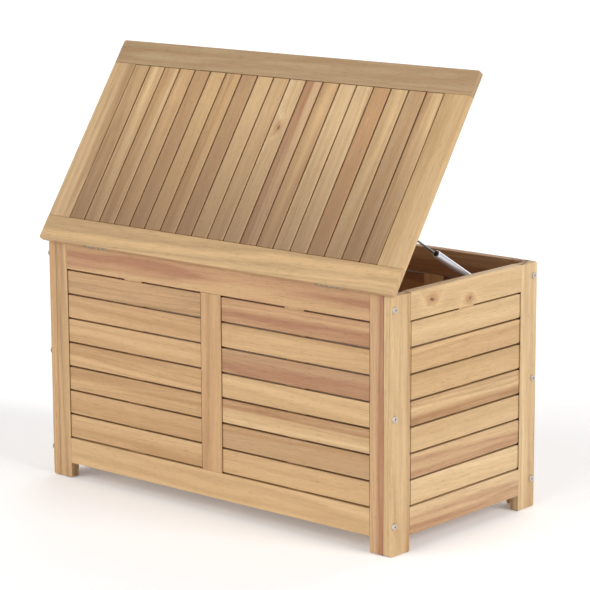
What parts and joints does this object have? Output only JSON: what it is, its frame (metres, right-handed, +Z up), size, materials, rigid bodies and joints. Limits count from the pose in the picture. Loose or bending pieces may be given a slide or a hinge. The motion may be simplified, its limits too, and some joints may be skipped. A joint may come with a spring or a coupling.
{
  "type": "deck storage box",
  "caption": "Slatted acacia garden storage box on corner legs, with a hinged slatted lid held open by gas struts.",
  "frame": {"origin": "On the ground under the middle of the object's box, with the lid standing open at rest.", "axes": "+X runs along the length to the right of someone facing the hinge side, +Y points from the hinge side to the opening side, +Z is up."},
  "size_m": [1, 0.5024, 0.9542],
  "materials": {
    "frame_wood": "planed acacia, oiled, satin",
    "slat_wood": "planed acacia slats, oiled, mixed pale and reddish boards",
    "lid_frame_wood": "planed acacia, oiled, slightly greyer",
    "floor_wood": "planed acacia, oiled, seen in shade",
    "zinc_screws": "zinc-plated, satin",
    "hinge_steel": "yellow-passivated zinc, satin",
    "bracket_steel": "zinc-plated, satin",
    "strut_cylinder": "silver paint, semi-gloss",
    "strut_rod": "dark polished rod"
  },
  "bodies": {
    "box": {"rear_bottom_rail": "frame_wood", "rear_top_rail": "frame_wood", "rear_centre_stile": "frame_wood", "rear_left_post": "frame_wood", "rear_right_post": "frame_wood", "rear_left_slats": "slat_wood", "rear_right_slats": "slat_wood", "front_bottom_rail": "frame_wood", "front_top_rail": "frame_wood", "front_centre_stile": "frame_wood", "front_left_post": "frame_wood", "front_right_post": "frame_wood", "front_left_slats": "slat_wood", "front_right_slats": "slat_wood", "left_end_bottom_rail": "frame_wood", "left_end_top_rail": "frame_wood", "left_end_rear_leg": "frame_wood", "left_end_front_leg": "frame_wood", "left_end_slats": "slat_wood", "left_end_rear_screw_low": "zinc_screws", "left_end_rear_screw_middle": "zinc_screws", "left_end_rear_screw_high": "zinc_screws", "left_end_front_screw_low": "zinc_screws", "left_end_front_screw_middle": "zinc_screws", "left_end_front_screw_high": "zinc_screws", "right_end_bottom_rail": "frame_wood", "right_end_top_rail": "frame_wood", "right_end_rear_leg": "frame_wood", "right_end_front_leg": "frame_wood", "right_end_slats": "slat_wood", "right_end_rear_screw_low": "zinc_screws", "right_end_rear_screw_middle": "zinc_screws", "right_end_rear_screw_high": "zinc_screws", "right_end_front_screw_low": "zinc_screws", "right_end_front_screw_middle": "zinc_screws", "right_end_front_screw_high": "zinc_screws", "floor_left_bearer": "floor_wood", "floor_middle_bearer": "floor_wood", "floor_right_bearer": "floor_wood", "floor_boards": "floor_wood", "left_hinge_box_leaf": "hinge_steel", "left_hinge_pin": "hinge_steel", "left_strut_wall_bracket": "bracket_steel", "right_hinge_box_leaf": "hinge_steel", "right_hinge_pin": "hinge_steel", "right_strut_wall_bracket": "bracket_steel"},
    "lid": {"lid_rear_rail": "lid_frame_wood", "lid_front_rail": "lid_frame_wood", "lid_left_stile": "lid_frame_wood", "lid_right_stile": "lid_frame_wood", "lid_slats": "slat_wood", "left_hinge_lid_leaf": "hinge_steel", "right_hinge_lid_leaf": "hinge_steel", "left_strut_lid_bracket": "bracket_steel", "right_strut_lid_bracket": "bracket_steel"},
    "left_cylinder": {"left_strut_cylinder": "strut_cylinder"},
    "left_rod": {"left_strut_rod": "strut_rod"},
    "right_cylinder": {"right_strut_cylinder": "strut_cylinder"},
    "right_rod": {"right_strut_rod": "strut_rod"}
  },
  "joints": [
    {"name": "lid_hinge", "type": "hinge", "parent": "box", "child": "lid", "pos_m": [0, -0.23827, 0.5355], "axis": [1, 0, 0], "range_deg": [-56, 0], "stiffness_Nm_per_rad": 2.2, "springref_deg": 148.97},
    {"name": "left_strut_swing", "type": "hinge", "parent": "box", "child": "left_cylinder", "pos_m": [-0.4435, 0.12523, 0.49], "axis": [1, 0, 0], "range_deg": [0, 21.71]},
    {"name": "left_strut_stroke", "type": "slide", "parent": "left_cylinder", "child": "left_rod", "axis": [0, -0.8662, 0.4996], "range_m": [-0.0918, 0]},
    {"name": "right_strut_swing", "type": "hinge", "parent": "box", "child": "right_cylinder", "pos_m": [0.4435, 0.12523, 0.49], "axis": [1, 0, 0], "range_deg": [0, 21.71]},
    {"name": "right_strut_stroke", "type": "slide", "parent": "right_cylinder", "child": "right_rod", "axis": [0, -0.8662, 0.4996], "range_m": [-0.0918, 0]}
  ],
  "couplings": [
    {"joint": "left_strut_swing", "follows": "lid_hinge", "ratio": -0.38748},
    {"joint": "left_strut_stroke", "follows": "lid_hinge", "m_per_rad": 0.093881},
    {"joint": "right_strut_swing", "follows": "lid_hinge", "ratio": -0.38748},
    {"joint": "right_strut_stroke", "follows": "lid_hinge", "m_per_rad": 0.093881}
  ]
}
